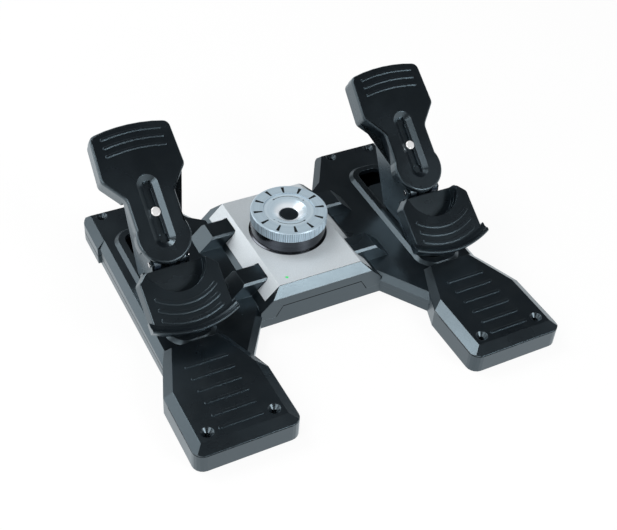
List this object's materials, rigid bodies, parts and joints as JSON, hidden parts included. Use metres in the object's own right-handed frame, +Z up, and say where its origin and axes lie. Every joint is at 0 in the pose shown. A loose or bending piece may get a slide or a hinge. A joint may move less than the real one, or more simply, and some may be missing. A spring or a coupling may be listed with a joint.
{
  "type": "flight simulator rudder pedals",
  "caption": "Low floor base with a round tension dial and two linked sliding pedals, each with a tilting toe plate over a heel rest, for steering and braking in a flight simulator.",
  "frame": {"origin": "middle of the footprint, on the floor", "axes": "+X to the pilot's right, +Y away from the pilot, +Z up"},
  "size_m": [0.44, 0.388, 0.1866],
  "materials": {
    "base_plastic": "fine spark texture",
    "shell_plastic": "fine spark texture with a satin sheen",
    "cover_paint": "satin silver paint with fine flakes",
    "collar_chrome": "dark chrome, turned",
    "bush_brass": "turned bronze",
    "foot_rubber": "plain rubber",
    "screw_steel": "zinc plated",
    "rod_steel": "ground rod",
    "inner_plastic": "plain moulding",
    "board_laminate": "green solder mask",
    "light_lens": "clear green lens",
    "grommet_rubber": "plain rubber",
    "sensor_body": "plain moulding",
    "rocker_steel": "pressed steel",
    "friction_lining": "pressed fibre",
    "spring_steel": "drawn wire",
    "ring_metal": "satin silver",
    "face_metal": "spun satin silver",
    "cap_plastic": "smooth gloss",
    "carriage_plastic": "plain moulding",
    "arm_plastic": "fine spark texture",
    "heel_plastic": "fine spark texture with worn ribs",
    "bolt_nickel": "bright nickel",
    "knob_plastic": "plain moulding",
    "toe_plastic": "fine spark texture with worn ribs",
    "toe_back_plastic": "fine spark texture"
  },
  "bodies": {
    "base": {"bottom_tray": "base_plastic", "upper_shell": "shell_plastic", "console_cover": "cover_paint", "dial_collar": "collar_chrome", "spindle_bush": "bush_brass", "rubber_feet": "foot_rubber", "case_screws": "screw_steel", "guide_rods": "rod_steel", "rod_clamps": "inner_plastic", "circuit_board": "board_laminate", "board_screws": "screw_steel", "status_light": "light_lens", "cable_grommet": "grommet_rubber", "rudder_sensor": "sensor_body", "centering_spring": "spring_steel"},
    "rocker": {"rocker_arm": "rocker_steel", "sensor_shaft": "rod_steel", "friction_disc": "friction_lining"},
    "dial": {"dial_ring": "ring_metal", "dial_face": "face_metal", "dial_cap": "cap_plastic", "dial_spindle": "rod_steel", "pressure_plate": "rocker_steel", "pressure_spring": "spring_steel"},
    "left_carriage": {"left_carriage": "carriage_plastic", "left_slide_bushes": "bush_brass", "left_drive_pin": "rod_steel", "left_pedal_arm": "arm_plastic", "left_arm_screws": "screw_steel", "left_heel_rest": "heel_plastic", "left_heel_screws": "screw_steel", "left_brake_sensor": "sensor_body", "left_brake_spring": "spring_steel"},
    "left_brake": {"left_toe_carrier": "arm_plastic", "left_brake_axle": "rod_steel", "left_clamp_bolt": "bolt_nickel"},
    "left_knob": {"left_clamp_knob": "knob_plastic"},
    "left_toe": {"left_toe_plate": "toe_plastic", "left_toe_back": "toe_back_plastic"},
    "right_carriage": {"right_carriage": "carriage_plastic", "right_slide_bushes": "bush_brass", "right_drive_pin": "rod_steel", "right_pedal_arm": "arm_plastic", "right_arm_screws": "screw_steel", "right_heel_rest": "heel_plastic", "right_heel_screws": "screw_steel", "right_brake_sensor": "sensor_body", "right_brake_spring": "spring_steel"},
    "right_brake": {"right_toe_carrier": "arm_plastic", "right_brake_axle": "rod_steel", "right_clamp_bolt": "bolt_nickel"},
    "right_knob": {"right_clamp_knob": "knob_plastic"},
    "right_toe": {"right_toe_plate": "toe_plastic", "right_toe_back": "toe_back_plastic"}
  },
  "joints": [
    {"name": "left_pedal_slide", "type": "slide", "parent": "base", "child": "left_carriage", "axis": [0, 1, 0], "range_m": [-0.024, 0.024], "stiffness_N_per_m": 450},
    {"name": "right_pedal_slide", "type": "slide", "parent": "base", "child": "right_carriage", "axis": [0, 1, 0], "range_m": [-0.024, 0.024]},
    {"name": "rocker_turn", "type": "hinge", "parent": "base", "child": "rocker", "pos_m": [0, 0.0537, 0.0095], "axis": [0, 0, 1], "range_deg": [-12.7, 12.7]},
    {"name": "tension_dial", "type": "hinge", "parent": "base", "child": "dial", "pos_m": [0, 0.0537, 0.0665], "axis": [0, 0, 1], "range_deg": [-150, 150]},
    {"name": "left_toe_brake", "type": "hinge", "parent": "left_carriage", "child": "left_brake", "pos_m": [-0.1599, 0.02357, 0.08303], "axis": [-1, 0, 0], "range_deg": [0, 12], "stiffness_Nm_per_rad": 12, "deforming": ["left_brake_spring"]},
    {"name": "left_toe_height", "type": "slide", "parent": "left_brake", "child": "left_toe", "axis": [0, 0.7923, 0.6101], "range_m": [-0.018, 0.018]},
    {"name": "left_clamp_turn", "type": "hinge", "parent": "left_brake", "child": "left_knob", "pos_m": [-0.1599, 0.0558, 0.1264], "axis": [0, -0.6101, 0.7923], "range_deg": [-90, 90]},
    {"name": "right_toe_brake", "type": "hinge", "parent": "right_carriage", "child": "right_brake", "pos_m": [0.1599, 0.02357, 0.08303], "axis": [-1, 0, 0], "range_deg": [0, 12], "stiffness_Nm_per_rad": 12, "deforming": ["right_brake_spring"]},
    {"name": "right_toe_height", "type": "slide", "parent": "right_brake", "child": "right_toe", "axis": [0, 0.7923, 0.6101], "range_m": [-0.018, 0.018]},
    {"name": "right_clamp_turn", "type": "hinge", "parent": "right_brake", "child": "right_knob", "pos_m": [0.1599, 0.0558, 0.1264], "axis": [0, -0.6101, 0.7923], "range_deg": [-90, 90]}
  ],
  "couplings": [
    {"joint": "right_pedal_slide", "follows": "left_pedal_slide", "ratio": -1},
    {"joint": "rocker_turn", "follows": "left_pedal_slide", "rad_per_m": -9.158}
  ]
}
